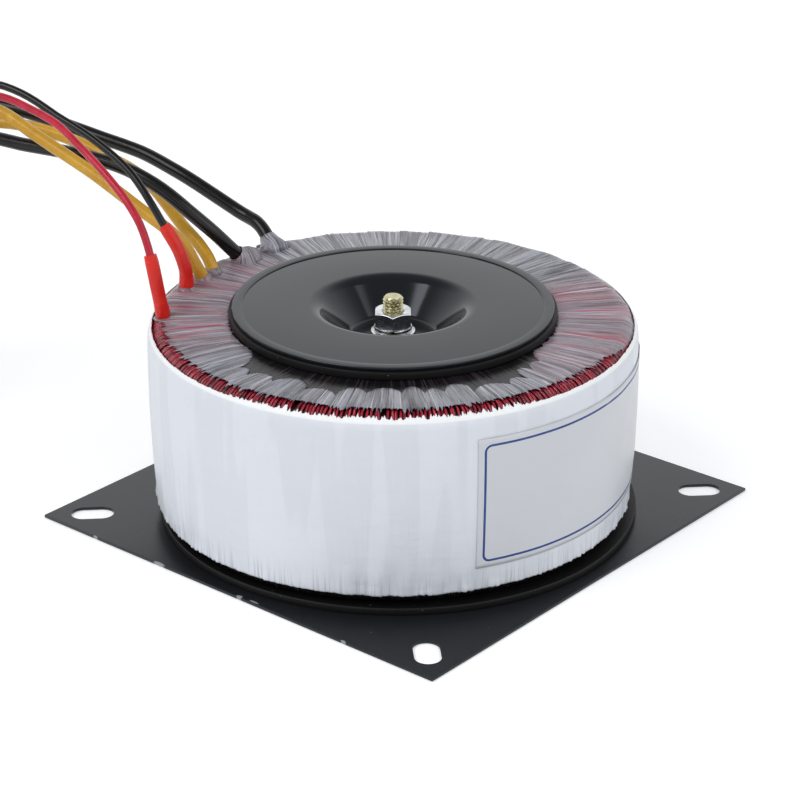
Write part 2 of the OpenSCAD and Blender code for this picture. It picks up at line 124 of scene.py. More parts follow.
# ---------------------------------------------------------------- materials
def srgb(r, g, b):
    """A display colour, 0 to 255 a channel, as the linear colour that a shader takes."""
    def lin(v):
        v /= 255
        return v / 12.92 if v <= 0.04045 else ((v + 0.055) / 1.055) ** 2.4
    return (lin(r), lin(g), lin(b), 1)


class Surface:
    """A procedural material. Its textures run in object space, which is the CAD's frame."""

    def __init__(self, name, rough, metal=0.0, **sockets):
        self.mat = bpy.data.materials.new(name)
        self.mat.use_nodes = True
        self.tree = self.mat.node_tree
        self.bsdf = self.tree.nodes["Principled BSDF"]
        self.bsdf.inputs["Roughness"].default_value = rough
        self.bsdf.inputs["Metallic"].default_value = metal
        for key, value in sockets.items():
            self.bsdf.inputs[key.replace("_", " ")].default_value = value
        self.where = self.tree.nodes.new("ShaderNodeTexCoord").outputs["Object"]

    def put(self, value, socket):
        if hasattr(value, "is_output"):
            self.tree.links.new(value, socket)
        else:
            socket.default_value = value

    def math(self, how, a, b=0.0, clamp=False):
        n = self.tree.nodes.new("ShaderNodeMath")
        n.operation, n.use_clamp = how, clamp
        self.put(a, n.inputs[0])
        self.put(b, n.inputs[1])
        return n.outputs[0]

    def axis(self, i):
        if not hasattr(self, "split"):
            n = self.tree.nodes.new("ShaderNodeSeparateXYZ")
            self.tree.links.new(self.where, n.inputs[0])
            self.split = n.outputs
        return self.split[i]

    def radius(self):
        x = self.math("SUBTRACT", self.axis(0), AX * MM)
        y = self.math("SUBTRACT", self.axis(1), AY * MM)
        return self.math("SQRT", self.math("ADD", self.math("MULTIPLY", x, x),
                                           self.math("MULTIPLY", y, y)))

    def angle(self):
        x = self.math("SUBTRACT", self.axis(0), AX * MM)
        y = self.math("SUBTRACT", self.axis(1), AY * MM)
        return self.math("ARCTAN2", y, x)

    def polar(self, turns, across, up):
        """Place round the axis, out from it and above the floor, each with its own scale."""
        n = self.tree.nodes.new("ShaderNodeCombineXYZ")
        self.put(self.math("MULTIPLY", self.angle(), turns), n.inputs[0])
        self.put(self.math("MULTIPLY", self.radius(), across), n.inputs[1])
        self.put(self.math("MULTIPLY", self.axis(2), up), n.inputs[2])
        return n.outputs[0]

    def noise(self, scale, detail=3.0, rough=0.55, vector=None):
        n = self.tree.nodes.new("ShaderNodeTexNoise")
        n.inputs["Scale"].default_value = scale
        n.inputs["Detail"].default_value = detail
        n.inputs["Roughness"].default_value = rough
        self.tree.links.new(vector or self.where, n.inputs["Vector"])
        return n.outputs["Fac"]

    def window(self, value, low, high):
        """0 below low, 1 above high, smooth between them."""
        n = self.tree.nodes.new("ShaderNodeMapRange")
        n.interpolation_type = "SMOOTHSTEP"
        self.put(value, n.inputs["Value"])
        n.inputs["From Min"].default_value = low
        n.inputs["From Max"].default_value = high
        return n.outputs["Result"]

    def levels(self, value, low, high):
        n = self.tree.nodes.new("ShaderNodeMapRange")
        self.put(value, n.inputs["Value"])
        n.inputs["To Min"].default_value = low
        n.inputs["To Max"].default_value = high
        return n.outputs["Result"]

    def mix(self, share, a, b):
        n = self.tree.nodes.new("ShaderNodeMix")
        n.data_type = "RGBA"
        self.put(share, n.inputs["Factor"])
        self.put(a, n.inputs[6])
        self.put(b, n.inputs[7])
        return n.outputs[2]

    def specks(self, scale, size, vector=None):
        """Scattered small spots: 1 on a spot, 0 between."""
        n = self.tree.nodes.new("ShaderNodeTexVoronoi")
        n.inputs["Scale"].default_value = scale
        self.tree.links.new(vector or self.where, n.inputs["Vector"])
        return self.window(n.outputs["Distance"], size, size * 0.5)

    def color(self, value):
        self.put(value, self.bsdf.inputs["Base Color"])

    def rough(self, value):
        self.put(value, self.bsdf.inputs["Roughness"])

    def bump(self, *heights):
        """Relief from pairs of height and depth in millimetres."""
        normal = None
        for height, depth in heights:
            n = self.tree.nodes.new("ShaderNodeBump")
            n.inputs["Strength"].default_value = 1.0
            n.inputs["Distance"].default_value = depth * MM
            self.put(height, n.inputs["Height"])
            if normal:
                self.tree.links.new(normal, n.inputs["Normal"])
            normal = n.outputs["Normal"]
        self.tree.links.new(normal, self.bsdf.inputs["Normal"])


def black_paint(name, base, cloudy, rough, chips=(), worn=None):
    """Black paint with dust. chips are places and reaches, worn is a duller area."""
    s = Surface(name, rough, Specular_IOR_Level=0.46, Specular_Tint=(0.84, 0.89, 1.0, 1))
    tone = s.mix(s.levels(s.noise(18, 4), 0.2, 0.9), base, cloudy)
    dust = s.math("MULTIPLY", s.specks(170, 0.07), s.window(s.noise(31, 2), 0.58, 0.7))
    tone = s.mix(s.math("MULTIPLY", dust, 0.5), tone, srgb(190, 192, 196))
    for x, y, reach_x, reach_y in chips:
        off_x = s.math("DIVIDE", s.math("SUBTRACT", s.axis(0), x * MM), reach_x * MM)
        off_y = s.math("DIVIDE", s.math("SUBTRACT", s.axis(1), y * MM), reach_y * MM)
        away = s.math("ADD", s.math("MULTIPLY", off_x, off_x), s.math("MULTIPLY", off_y, off_y))
        ragged = s.math("ADD", away, s.levels(s.noise(900, 2), -0.7, 0.9))
        tone = s.mix(s.window(ragged, 1.0, 0.7), tone, srgb(150, 150, 152))
    s.color(tone)
    dull = s.math("ADD", s.levels(s.noise(45, 4), -0.04, 0.05), rough)
    if worn:
        x, y, near, far, extra = worn
        off_x = s.math("SUBTRACT", s.axis(0), x * MM)
        off_y = s.math("SUBTRACT", s.axis(1), y * MM)
        away = s.math("SQRT", s.math("ADD", s.math("MULTIPLY", off_x, off_x),
                                     s.math("MULTIPLY", off_y, off_y)))
        share = s.window(away, far * MM, near * MM)
        dull = s.math("ADD", s.math("MULTIPLY", share, extra), dull)
    s.rough(dull)
    s.bump((s.noise(60, 2), 0.02))
    return s.mat


def rubber(name):
    s = Surface(name, 0.5, Specular_IOR_Level=0.25)
    tone = s.mix(s.levels(s.noise(60, 4), 0.1, 0.9), srgb(9, 9, 10), srgb(20, 20, 22))
    dust = s.math("MULTIPLY", s.specks(420, 0.13), s.window(s.noise(50, 2), 0.5, 0.65))
    s.color(s.mix(s.math("MULTIPLY", dust, 0.6), tone, srgb(170, 172, 178)))
    s.bump((s.noise(1500, 3), 0.05), (s.noise(220, 2), 0.05))
    return s.mat


def plastic(name, base, dark, light, rough, grain):
    """Cable insulation and sleeving: soft clouds of tone and a fine skin."""
    s = Surface(name, rough, Specular_IOR_Level=0.36)
    tone = s.mix(s.window(s.noise(60, 3), 0.35, 0.75), dark, base)
    tone = s.mix(s.math("MULTIPLY", s.window(s.noise(170, 3), 0.5, 0.8), 0.5), tone, light)
    s.color(tone)
    s.rough(s.math("ADD", s.levels(s.noise(240, 3), -0.06, 0.1), rough))
    s.bump((s.noise(1300, 2), grain), (s.noise(140, 2), grain * 2))
    return s.mat


def zinc(name, base, stain, rough):
    """Plated metal with faint stains."""
    s = Surface(name, rough, metal=1.0)
    s.color(s.mix(s.window(s.noise(240, 4), 0.42, 0.7), base, stain))
    s.rough(s.math("ADD", s.levels(s.noise(520, 3), -0.08, 0.14), rough))
    s.bump((s.noise(1900, 3), 0.015))
    return s.mat


def wire(name, base, dark, light, gloss=0.24):
    """Enamelled wire: its tone differs from strand to strand."""
    s = Surface(name, gloss, Specular_IOR_Level=0.6)
    strand = s.noise(1.0, 1, vector=s.polar(130, 25, 8))
    tone = s.mix(s.window(strand, 0.3, 0.55), dark, base)
    s.color(s.mix(s.window(strand, 0.55, 0.8), tone, light))
    s.bump((s.noise(900, 2), 0.02))
    return s.mat


def film(name):
    """Clear polyester film, hazy where its petals overlap, with painted shade in dark streaks between
    its folds and painted highlights in fine white streaks. Wires tint it at two sides.
    """
    s = Surface(name, 0.2, Specular_IOR_Level=0.5)
    ray = s.noise(1.0, 3, 0.6, s.polar(34, 30, 10))
    mid = s.noise(1.0, 2, 0.6, s.polar(90, 26, 10))
    fine = s.noise(1.0, 2, 0.6, s.polar(210, 20, 10))
    tone = s.mix(s.window(ray, 0.34, 0.66), srgb(96, 95, 103), srgb(150, 150, 160))
    # Dark streaks: painted shade in the gaps between the folds.
    tone = s.mix(s.math("MULTIPLY", s.window(mid, 0.46, 0.34), 0.75), tone, srgb(44, 40, 46))
    twice = s.math("MULTIPLY", s.math("SUBTRACT", s.angle(), math.radians(30)), 2.0)
    side = s.window(s.math("COSINE", twice), -0.05, 0.8)
    tone = s.mix(s.math("MULTIPLY", side, 0.35), tone, srgb(158, 128, 138))
    wires = s.window(s.noise(1.0, 1, 0.5, s.polar(120, 12, 8)), 0.52, 0.64)
    patch = s.window(s.noise(1.0, 1, 0.5, s.polar(9, 26, 8)), 0.4, 0.6)
    wires = s.math("MULTIPLY", s.math("MULTIPLY", side, wires), patch)
    tone = s.mix(s.math("MULTIPLY", wires, 0.85), tone, srgb(172, 38, 74))
    # Fine white streaks: painted highlights on the folds.
    tone = s.mix(s.math("MULTIPLY", s.window(fine, 0.56, 0.7), 0.75), tone, srgb(214, 214, 222))
    s.color(tone)
    s.rough(s.levels(s.noise(120, 3), 0.1, 0.3))
    s.bump((ray, 0.5), (mid, 0.3), (fine, 0.12))
    return s.mat


def painted_shade_film(name):
    """The clear film, nearly black as painted shade and a painted reflection of the black washer above
    it.
    """
    s = Surface(name, 0.2, Specular_IOR_Level=0.3)
    ray = s.noise(1.0, 3, 0.6, s.polar(70, 20, 10))
    # Painted shade and painted reflection: the film is clear, and this dark colour stands for shade
    # under the washer and the black washer mirrored in it.
    s.color(s.mix(s.window(ray, 0.5, 0.8), srgb(14, 12, 14), srgb(66, 56, 62)))
    s.rough(s.levels(s.noise(160, 2), 0.1, 0.28))
    s.bump((ray, 0.2))
    return s.mat


def white_film(name):
    """The outer band: pale steps, painted shade in the pleats at its foot, a lip painted white as a
    highlight, and dust.
    """
    s = Surface(name, 0.42, Specular_IOR_Level=0.45)
    soft = s.noise(28, 3)
    tone = s.mix(s.levels(soft, 0.1, 0.9), srgb(219, 223, 232), srgb(232, 235, 241))
    pleat = s.noise(1.0, 2, 0.5, s.polar(150, 5, 30))
    step = s.noise(1.0, 1, 0.4, s.polar(9, 3, 9))
    low = s.window(s.axis(2), (SEAT + 17) * MM, (SEAT + 6) * MM)
    # Grey along the pleats at the foot: painted shade in the folds.
    tone = s.mix(s.math("MULTIPLY", s.math("MULTIPLY", s.window(pleat, 0.48, 0.7), low), 0.55),
                 tone, srgb(158, 162, 168))
    tone = s.mix(s.math("MULTIPLY", s.window(step, 0.5, 0.56), 0.3), tone, srgb(206, 210, 220))
    # The whiter lip is a painted highlight along the band's top edge.
    lip = s.window(s.axis(2), (TOP - BAND_TOP - 1.4) * MM, (TOP - BAND_TOP - 0.5) * MM)
    tone = s.mix(lip, tone, srgb(246, 247, 249))
    dust = s.math("MULTIPLY", s.specks(330, 0.07), s.window(s.noise(40, 2), 0.55, 0.7))
    s.color(s.mix(s.math("MULTIPLY", dust, 0.5), tone, srgb(150, 153, 160)))
    crease = s.noise(1.0, 2, 0.6, s.polar(5, 10, 190))
    s.rough(s.levels(soft, 0.34, 0.5))
    s.bump((crease, 0.3), (s.noise(500, 3), 0.03), (pleat, 0.14))
    return s.mat


def paper(name):
    """The bare label."""
    s = Surface(name, 0.38, Specular_IOR_Level=0.45)
    s.color(s.mix(s.levels(s.noise(35, 3), 0.1, 0.9), srgb(203, 206, 211), srgb(213, 216, 221)))
    s.rough(s.levels(s.noise(150, 3), 0.3, 0.46))
    s.bump((s.noise(420, 3), 0.03), (s.noise(30, 2), 0.18))
    return s.mat


def ink(name):
    """The border printed on the label."""
    s = Surface(name, 0.4, Specular_IOR_Level=0.45)
    s.color(s.mix(s.noise(300, 3), srgb(16, 50, 120), srgb(34, 74, 150)))
    s.bump((s.noise(600, 2), 0.01))
    return s.mat


def plain_layers(name, base, dark, rough, metal=0.0, turns=120.0):
    """An inner layer, wound or rolled round the axis."""
    s = Surface(name, rough, metal)
    s.color(s.mix(s.noise(1.0, 2, 0.5, s.polar(turns, 160, 30)), dark, base))
    s.bump((s.noise(400, 2), 0.05))
    return s.mat


# ---------------------------------------------------------------- geometry helpers
def wall(z):
    """Radius of the wound body at height z."""
    return BODY_R - BELLY * (2 * (z - SEAT) / BODY_H - 2 * BELLY_AT) ** 2


def smooth(t):
    t = min(max(t, 0.0), 1.0)
    return t * t * (3 - 2 * t)


def between(value, low, high):
    return smooth((value - low) / (high - low))


def span(value, begins, full, fades, ends):
    """1 from full to fades, 0 outside begins to ends, smooth between them."""
    return between(value, begins, full) * (1 - between(value, fades, ends))


def arc(r, z, bend, start, stop, steps):
    turns = [math.radians(start + (stop - start) * i / steps) for i in range(steps + 1)]
    return [(r + bend * math.cos(a), z + bend * math.sin(a)) for a in turns]


def around(r, degrees, z):
    a = math.radians(degrees)
    return (AX + r * math.cos(a), AY + r * math.sin(a), z)


def make(name, points, faces, material, replaced=(), slot=None, sharp=None):
    mesh = bpy.data.meshes.new(name)
    mesh.from_pydata([tuple(c * MM for c in p) for p in points], [], faces)
    mesh.validate()
    work = bmesh.new()
    work.from_mesh(mesh)
    bmesh.ops.recalc_face_normals(work, faces=work.faces)
    for f in work.faces:
        f.smooth = True
    if sharp:
        for e in work.edges:
            if len(e.link_faces) == 2 and e.calc_face_angle(0) > math.radians(sharp):
                e.smooth = False
    work.to_mesh(mesh)
    work.free()
    mesh.materials.append(material)
    piece = bpy.data.objects.new(name, mesh)
    bpy.context.scene.collection.objects.link(piece)
    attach(piece, "root")
    if replaced:
        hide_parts(*replaced)
    return piece


def grid_faces(rows, cols, wrap_cols=True, wrap_rows=False, start=0):
    faces = []
    for i in range(rows if wrap_rows else rows - 1):
        for k in range(cols if wrap_cols else cols - 1):
            a, b = i * cols, ((i + 1) % rows) * cols
            j = (k + 1) % cols
            faces.append((start + a + k, start + a + j, start + b + j, start + b + k))
    return faces


def thicken(piece, depth, offset=-1.0):
    m = piece.modifiers.new("thickness", "SOLIDIFY")
    m.thickness, m.offset = depth * MM, offset
    return piece


def lathe(name, profile, material, segments=192, **more):
    """A solid of revolution round the bolt's axis from a closed profile of (r, z)."""
    points = [around(r, 360 * k / segments, z) for r, z in profile for k in range(segments)]
    faces = grid_faces(len(profile), segments, wrap_rows=True)
    return make(name, points, faces, material, sharp=28, **more)


def eased(profile, width, steps=3):
    """Rounds each corner of a closed profile with an arc-like curve of that reach."""
    out = []
    for i, here in enumerate(profile):
        p = Vector(here)
        before, after = Vector(profile[i - 1]) - p, Vector(profile[(i + 1) % len(profile)]) - p
        turn = math.degrees(before.angle(-after, 0.0))
        if turn < 20:
            out.append(here)
            continue
        reach = min(width, before.length * 0.45, after.length * 0.45)
        a, b = p + before.normalized() * reach, p + after.normalized() * reach
        for j in range(steps + 1):
            t = j / steps
            q = a * (1 - t) ** 2 + p * 2 * t * (1 - t) + b * t * t
            out.append((q.x, q.y))
    return out


WELD, FLAT, LEVEL = 0.00002, 0.02, 0.9  # metres, radians, and the upward share of a normal


def dressed(node, name, material, bevel):
    """The CAD node's own mesh with its edges eased, as a piece that stands for it."""
    mesh = NODES[node].data.copy()
    mesh.name = name
    mesh.materials.clear()
    mesh.materials.append(material)
    work = bmesh.new()
    work.from_mesh(mesh)
    bmesh.ops.remove_doubles(work, verts=work.verts, dist=WELD)
    bmesh.ops.dissolve_limit(work, angle_limit=FLAT, verts=work.verts, edges=work.edges)
    for f in work.faces:
        f.smooth = abs(f.normal.z) < LEVEL
    work.to_mesh(mesh)
    work.free()
    piece = bpy.data.objects.new(name, mesh)
    bpy.context.scene.collection.objects.link(piece)
    m = piece.modifiers.new("eased", "BEVEL")
    m.width, m.segments, m.limit_method = bevel * MM, 3, "ANGLE"
    m.angle_limit = math.radians(35)
    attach(piece, "root")
    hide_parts(node)
    return piece


def halved(p):
    """A route with a point added halfway along each bend, on a smooth curve."""
    out, last = [], len(p) - 1
    for i in range(last):
        before, after = p[max(i - 1, 0)], p[min(i + 2, last)]
        mid = (9 * (Vector(p[i]) + Vector(p[i + 1])) - Vector(before) - Vector(after)) / 16
        out += [Vector(p[i]), mid]
    return out + [Vector(p[last])]


def frames(path):
    """Two directions square to the path at each of its points, turning as little as they can."""
    result, side = [], Vector((0, 1, 0))
    for i in range(len(path)):
        ahead = path[min(i + 1, len(path) - 1)] - path[max(i - 1, 0)]
        ahead.normalize()
        side = (side - side.dot(ahead) * ahead).normalized()
        result.append((side.copy(), ahead.cross(side)))
    return result


def sweep(path, radius, sides, start=0):
    """Rings of points round a path. radius takes the point's number and the angle."""
    points = []
    for i, (side, up) in enumerate(frames(path)):
        for k in range(sides):
            a = 2 * math.pi * k / sides
            r = radius(i, a)
            points.append(tuple(path[i] + r * (math.cos(a) * side + math.sin(a) * up)))
    return points, grid_faces(len(path), sides, start=start)


# ---------------------------------------------------------------- camera
camera_data = bpy.data.cameras.new("camera")
camera_data.sensor_width, camera_data.lens = 36.0, 121.87
camera_data.clip_start, camera_data.clip_end = 0.01, 50.0
camera = bpy.data.objects.new("camera", camera_data)
bpy.context.scene.collection.objects.link(camera)
camera.location = (0.62855, -0.74490, 0.48774)
camera.rotation_mode = "QUATERNION"
aim = Vector((-0.06306, 0.07574, 0.0012)) - camera.location
camera.rotation_quaternion = aim.to_track_quat("-Z", "Y")
bpy.context.scene.camera = camera

# ---------------------------------------------------------------- leads
INSULATION = {
    "red": plastic("pvc_red", srgb(196, 30, 58), srgb(170, 20, 44), srgb(208, 60, 86), 0.22, 0.02),
    "black": plastic("pvc_black", srgb(14, 14, 17), srgb(9, 9, 11), srgb(24, 25, 29), 0.2, 0.02),
    "yellow": plastic("pvc_yellow", srgb(216, 166, 46), srgb(196, 146, 34), srgb(226, 184, 82),
                      0.26, 0.02),
}
TINNED_COPPER = zinc("tinned_copper", srgb(196, 197, 199), srgb(168, 168, 170), 0.34)
SLEEVING = plastic("heat_shrink", srgb(224, 38, 24), srgb(206, 28, 20), srgb(230, 62, 48), 0.24, 0.04)
FILM = film("polyester_film")

LEADS = [  # name, colour, diameter, real length with its tinned end, stiffness, sleeve's last point
    ("red", "red", 3.2, 355, "medium", 2),
    ("thin_black", "black", 3.2, 351, "medium", 3),
    ("yellow_a", "yellow", 5.2, 337, "stiff", None),
    ("yellow_b", "yellow", 5.2, 338, "stiff", None),
    ("black_a", "black", 5.8, 341, "stiff", None),
    ("black_b", "black", 5.8, 363, "stiff", None),
]
NODE_OF = {"red": "red_lead", "thin_black": "thin_black_lead", "yellow_a": "yellow_lead_a",
           "yellow_b": "yellow_lead_b", "black_a": "black_lead_a", "black_b": "black_lead_b"}


def lead_curve(name, path, d, material):
    data = bpy.data.curves.new(name, "CURVE")
    data.dimensions, data.bevel_depth, data.bevel_resolution = "3D", d / 2 * MM, 5
    data.use_fill_caps = True
    spline = data.splines.new("POLY")
    spline.points.add(len(path) - 1)
    for point, p in zip(spline.points, path):
        point.co = (*(p * MM), 1)
    data.materials.append(material)
    piece = bpy.data.objects.new(name, data)
    bpy.context.scene.collection.objects.link(piece)
    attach(piece, "root")
    return piece


def stranded_end(name, path, d, node):
    """Twisted tinned strands round a core, straight on from the lead's cut end."""
    start, ahead = path[-1], (path[-1] - path[-2]).normalized()
    reach, count, steps = d * COPPER_SHARE / 2, 9, 14
    lobe = reach * math.sin(math.pi / count) / (1 + math.sin(math.pi / count))
    side = ahead.cross(Vector((0, 0, 1))).normalized()
    up = side.cross(ahead)
    points, faces = [], []
    for s in range(count + 1):
        off = 0 if s == count else reach - lobe
        r = (reach - 1.6 * lobe) if s == count else lobe
        line = []
        for i in range(steps + 1):
            a = 2 * math.pi * (s / count + 0.45 * i / steps)
            line.append(start + ahead * (TINNED * i / steps)
                        + off * (math.cos(a) * side + math.sin(a) * up))
        first = len(points)
        ring, skin = sweep(line, lambda i, a: r * (0.75 if i == steps else 1.0), 8, first)
        points += ring
        faces += skin
        faces.append(tuple(first + k for k in range(7, -1, -1)))
        faces.append(tuple(first + steps * 8 + k for k in range(8)))
    return make(name, points, faces, TINNED_COPPER, [node], "tinned_copper", sharp=50)


def sleeve_piece(name, path, d, last, node, slot):
    """Shrunk sleeving: it flares at its foot and wrinkles a little where it bends."""
    line = path[:last + 1]
    outer, inner = d / 2 + 0.3 + 0.8, d / 2 + 0.15
    n, sides = len(line), 24

    def outside(i, a):
        p = line[i]
        flare = 0.4 * (1 - between((p - line[0]).length, 0.5, 7))
        wrinkle = 0.07 * noise.noise(Vector((p.z * 0.5, math.cos(a) * 1.5, math.sin(a) * 1.5)))
        end = -0.22 if i in (0, n - 1) else 0.0
        return outer + flare + wrinkle + end

    out_ring, _ = sweep(line, outside, sides)
    in_ring, _ = sweep(line, lambda i, a: inner, sides)
    rows = [out_ring[i * sides:(i + 1) * sides] for i in range(n)]
    rows += [in_ring[i * sides:(i + 1) * sides] for i in range(n - 1, -1, -1)]
    points = [q for row in rows for q in row]
    faces = grid_faces(len(rows), sides, wrap_rows=True)
    return make(name, points, faces, SLEEVING, [node], slot, sharp=50)


def collar(path, d, rise, spread, seed):
    """Puckered film round a lead where it leaves the body."""
    line = [p for p in path if (p - path[0]).length < rise]
    line = [path[0] - Vector((0, 0, 0.9)), path[0] - Vector((0, 0, 0.2))] + line[1:]
    length = (line[-1] - line[0]).length

    def radius(i, a):
        t = (line[i] - line[0]).length / length
        pucker = noise.noise(Vector((math.cos(a) * 2.2 + seed, math.sin(a) * 2.2, t * 1.5)))
        fine = noise.noise(Vector((math.cos(a) * 6 + seed, math.sin(a) * 6, t)))
        return d / 2 + 0.3 + (spread * (1 - t) ** 1.7) * (1 + 0.35 * pucker) + 0.35 * fine * (1 - t)
    return line, radius


collar_points, collar_faces = [], []
for order, (name, colour, d, length, stiffness, sleeve_to) in enumerate(LEADS):
    node = NODE_OF[name]
    low = d / 2 + 0.02
    path = [Vector((p.x, p.y, max(p.z, low))) for p in halved(halved(ROUTES[name]))]
    wire_piece = lead_curve(node + "_wire", path, d, INSULATION[colour])
    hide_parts(node)
    on_it = [stranded_end(node + "_strands", path, d, node + "_end")]
    if sleeve_to:
        on_it.append(sleeve_piece(node + "_sleeving", path, d, sleeve_to * 4,
                                  node + "_sleeve", "red_sleeve"))
    foot = d + (2.4 if sleeve_to else 0)
    rise, spread = (7, 4.2) if colour == "black" and d > 4 else (2.2, 0.9)
    line, radius = collar(path, foot, rise, spread, 7.3 * order)
    ring, skin = sweep(line, radius, 40, len(collar_points))
    collar_points += ring
    collar_faces += skin

thicken(make("film_collars", collar_points, collar_faces, FILM, slot="insulation_film"), 0.12, 0.0)

# ---------------------------------------------------------------- plate, pads and washer
PAINT = black_paint("plate_paint", srgb(13, 13, 15), srgb(22, 23, 26), 0.16,
                    worn=(100, -100, 70, 215, 0.34),
                    chips=[(-36, -100, 3.2, 0.8), (6, -99.6, 1.6, 0.9), (13, -99.2, 2.6, 0.5),
                           (58, -100, 1.4, 0.5), (-71, -100, 1.2, 0.5)])
WASHER_PAINT = black_paint("washer_paint", srgb(14, 15, 18), srgb(20, 21, 25), 0.11)
RUBBER = rubber("pad_rubber")
dressed("base_plate", "plate_steel", PAINT, 0.25)
dressed("lower_pad", "lower_pad_rubber", RUBBER, 0.5)

pad_low, pad_high = corners("upper_pad")
pad_r = (pad_high.x - pad_low.x) / 2
lathe("upper_pad_rubber", eased([(34, pad_low.z), (pad_r, pad_low.z), (pad_r, pad_high.z),
                                 (34, pad_high.z)], 0.5), RUBBER,
      replaced=["upper_pad"], slot="pad_rubber")

DISH_RUN, DISH_DEPTH, MOUTH_R, MOUTH_BEND, FLOOR_BEND, STEEL = 13.0, 12.7, 30.0, 8.0, 3.0, 1.5
slope = math.degrees(math.atan2(DISH_DEPTH, DISH_RUN))
tangent = math.tan(math.radians(slope / 2))
mouth = (MOUTH_R + MOUTH_BEND * tangent, RIM_Z - MOUTH_BEND)
dish = (MOUTH_R - DISH_RUN - FLOOR_BEND * tangent, FLOOR_Z + FLOOR_BEND)
rim = eased([(WASHER_R - 4, RIM_Z), (WASHER_R, RIM_Z), (WASHER_R, RIM_Z - STEEL),
             (WASHER_R - 4, RIM_Z - STEEL)], 0.4)
profile = ([(4.5, FLOOR_Z)] + arc(*dish, FLOOR_BEND, 270, 270 + slope, 10)
           + arc(*mouth, MOUTH_BEND, 90 + slope, 90, 20)
           + [(48, RIM_Z)] + rim + [(48, RIM_Z - STEEL)]
           + arc(*mouth, MOUTH_BEND - STEEL, 90, 90 + slope, 14)
           + arc(*dish, FLOOR_BEND + STEEL, 270 + slope, 270, 8) + [(4.5, FLOOR_Z - STEEL)])
lathe("top_washer_steel", profile, WASHER_PAINT, 256, replaced=["top_washer"], slot="washer_paint")

# ---------------------------------------------------------------- bolt, nut and washers
BRIGHT = zinc("bright_zinc", srgb(232, 234, 238), srgb(206, 209, 214), 0.22)
YELLOW_ZINC = zinc("yellow_zinc", srgb(212, 206, 168), srgb(180, 178, 142), 0.24)
lathe("flat_washer_ring", eased([(4.6, FLOOR_Z), (8.75, FLOOR_Z), (8.75, SPRING_Z),
                                 (4.6, SPRING_Z)], 0.22), BRIGHT, 128,
      replaced=["flat_washer"], slot="bright_zinc")

# The spring washer is a turn of square wire, with its cut ends a little apart in height
split, inner_r, outer_r, spring_h = 9.3, 4.1, 7.4, NUT_LOW.z - SPRING_Z
section = eased([(inner_r, 0), (outer_r, 0), (outer_r, spring_h), (inner_r, spring_h)], 0.3)
steps = 120
points = []
for i in range(steps + 1):
    turn = NUT_TURN + split / 2 + (360 - split) * i / steps
    lean = 0.22 * (i / steps - 0.5)
    for r, z in section:
        inside = min(max(z / spring_h, 0), 1)
        points.append(around(r, turn, SPRING_Z + z + lean * (1 - abs(2 * inside - 1))))
faces = grid_faces(steps + 1, len(section))
faces += [tuple(range(len(section) - 1, -1, -1)),
          tuple(steps * len(section) + k for k in range(len(section)))]
make("spring_washer_ring", points, faces, BRIGHT, ["spring_washer"], "bright_zinc", sharp=32)


def hexagon(a, across, turn):
    """Radius of a hexagon's side in direction a, in degrees. turn is a corner's direction."""
    return across / 2 / math.cos(math.radians((a - turn) % 60 - 30))


ACROSS, CONE = 14.0, math.tan(math.radians(30))
nut_h, face_r = NUT_HIGH.z - NUT_LOW.z, ACROSS / 2 * 0.965
rows, cols = [], 144
for level in range(8):
    row = []
    for k in range(cols):
        a = 360 * k / cols + NUT_TURN
        side_r = hexagon(a, ACROSS, NUT_TURN)
        drop = (side_r - face_r) * CONE
        r, z = [(4.1, 0), (face_r, 0), (side_r, drop), (side_r, nut_h / 2),
                (side_r, nut_h - drop), (face_r, nut_h), (4.75, nut_h), (4.1, nut_h - 0.6)][level]
        row.append(around(r, a, NUT_LOW.z + z))
    rows += row
nut = make("hex_nut_steel", rows, grid_faces(8, cols, wrap_rows=True), BRIGHT,
           ["hex_nut"], "bright_zinc", sharp=26)
m = nut.modifiers.new("eased", "BEVEL")
m.width, m.segments, m.limit_method, m.angle_limit = 0.12 * MM, 2, "ANGLE", math.radians(26)

PITCH, MAJOR, MINOR, TIP = 1.25, 4.0, 3.3, 0.9
SHANK_TOP, THREAD_FROM, THREAD_STEP = 83.0, 83.1, 0.1
cols, points = 72, []
turns = int((BOLT_TOP - THREAD_FROM) / THREAD_STEP)
heights = [5.5, 30, 60, SHANK_TOP] + [THREAD_FROM + THREAD_STEP * i for i in range(turns)]
for z in heights + [BOLT_TOP]:
    for k in range(cols):
        share = (z / PITCH - k / cols) % 1.0
        crest = min(max(1.25 - abs(2 * share - 1) * 1.5, 0), 1)
        r = MINOR + (MAJOR - MINOR) * crest if z > SHANK_TOP else MAJOR - 0.1
        limit = MAJOR - TIP * max(0.0, 1 - (BOLT_TOP - z) / TIP)
        points.append(around(min(r, limit), 360 * k / cols, z))
faces = grid_faces(len(heights) + 1, cols)
faces += [tuple(range(cols - 1, -1, -1)), tuple(len(heights) * cols + k for k in range(cols))]
start, head_z, head_h = len(points), 0.2, 5.3
for level in range(5):
    for k in range(cols):
        a = 360 * k / cols + NUT_TURN
        side_r = hexagon(a, ACROSS, NUT_TURN)
        drop = (side_r - face_r) * CONE
        r, z = [(face_r - 0.6, 0.1), (face_r, 0), (side_r, drop), (side_r, head_h - 0.2),
                (side_r - 0.3, head_h)][level]
        points.append(around(r, a, head_z + z))
faces += grid_faces(5, cols, start=start)
faces += [tuple(start + k for k in range(cols - 1, -1, -1)),
          tuple(start + 4 * cols + k for k in range(cols))]
make("bolt_threaded", points, faces, YELLOW_ZINC, ["centre_bolt"], "yellow_zinc", sharp=40)

